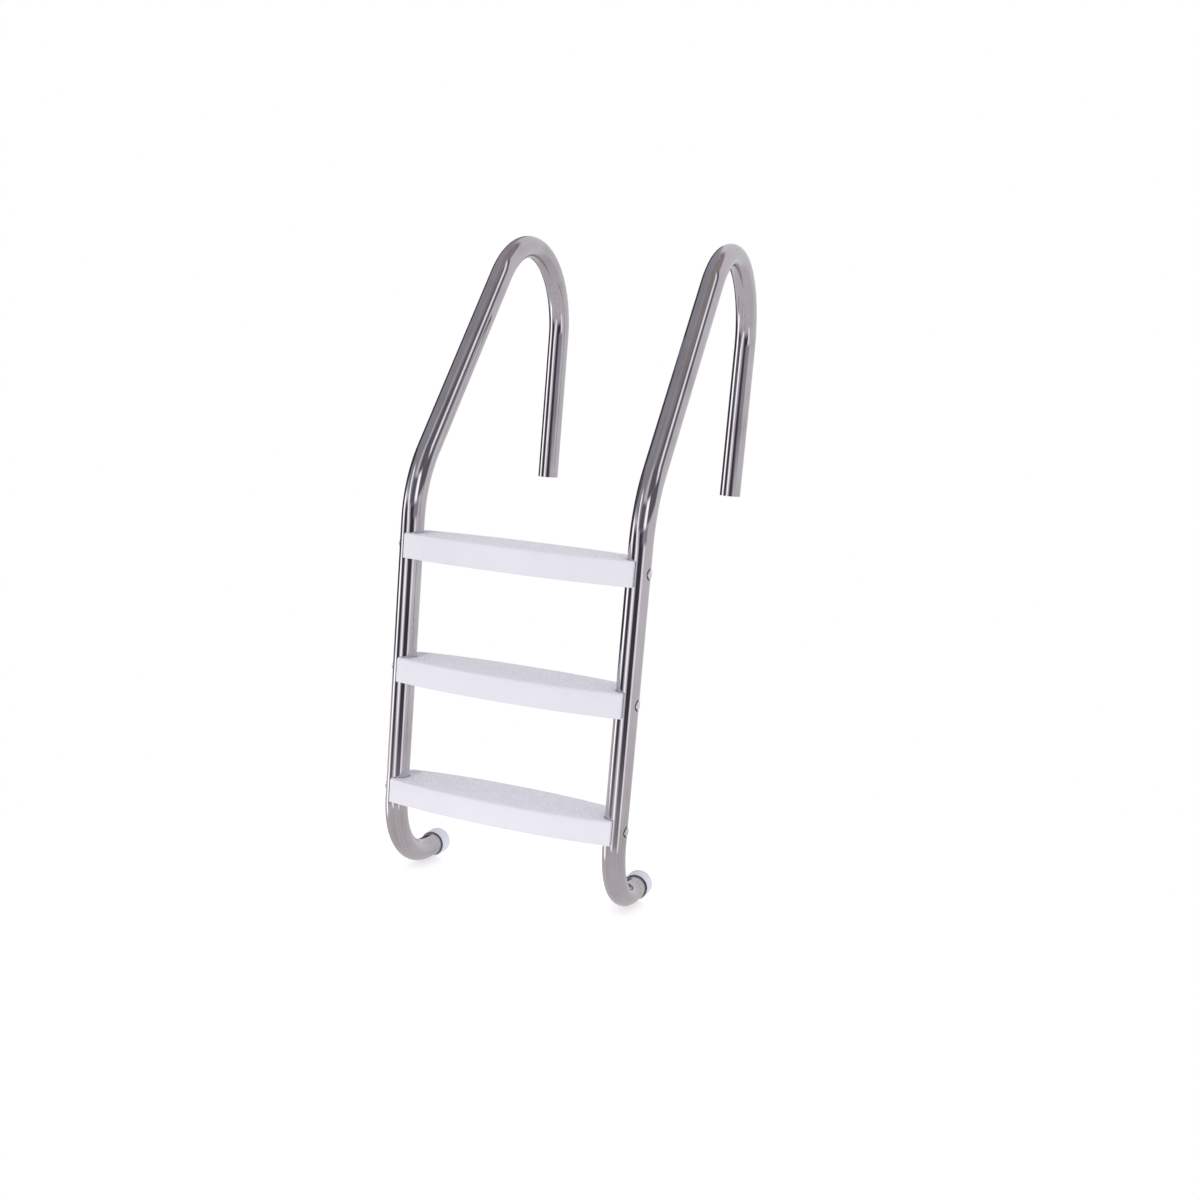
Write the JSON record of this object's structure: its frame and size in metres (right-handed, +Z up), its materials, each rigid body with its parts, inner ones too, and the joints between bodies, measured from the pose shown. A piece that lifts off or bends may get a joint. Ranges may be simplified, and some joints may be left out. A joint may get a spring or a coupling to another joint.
{
  "type": "pool ladder",
  "caption": "Swimming pool ladder with hooped tubular handrails that run down to the feet, curved moulded treads bolted between them and slip-on foot bumpers.",
  "frame": {"origin": "midway between the cut lower ends of the two rear legs, where they enter the deck anchors", "axes": "+X to the right of a person climbing out, across the treads; +Y from the pool toward the deck; +Z up"},
  "size_m": [0.5484, 0.767, 1.4031],
  "materials": {
    "rail_steel": "polished stainless",
    "fastener_steel": "satin stainless",
    "tread_plastic": "white, fine pebbled top",
    "bumper_plastic": "white, satin"
  },
  "bodies": {
    "root": {"rail_left": "rail_steel", "rail_right": "rail_steel", "tread_top": "tread_plastic", "tread_middle": "tread_plastic", "tread_bottom": "tread_plastic", "bolt_left_top": "fastener_steel", "bolt_left_middle": "fastener_steel", "bolt_left_bottom": "fastener_steel", "bolt_right_top": "fastener_steel", "bolt_right_middle": "fastener_steel", "bolt_right_bottom": "fastener_steel", "washer_left_top": "fastener_steel", "washer_left_middle": "fastener_steel", "washer_left_bottom": "fastener_steel", "washer_right_top": "fastener_steel", "washer_right_middle": "fastener_steel", "washer_right_bottom": "fastener_steel", "nut_left_top": "fastener_steel", "nut_left_middle": "fastener_steel", "nut_left_bottom": "fastener_steel", "nut_right_top": "fastener_steel", "nut_right_middle": "fastener_steel", "nut_right_bottom": "fastener_steel", "bumper_left": "bumper_plastic", "bumper_right": "bumper_plastic"}
  },
  "joints": []
}
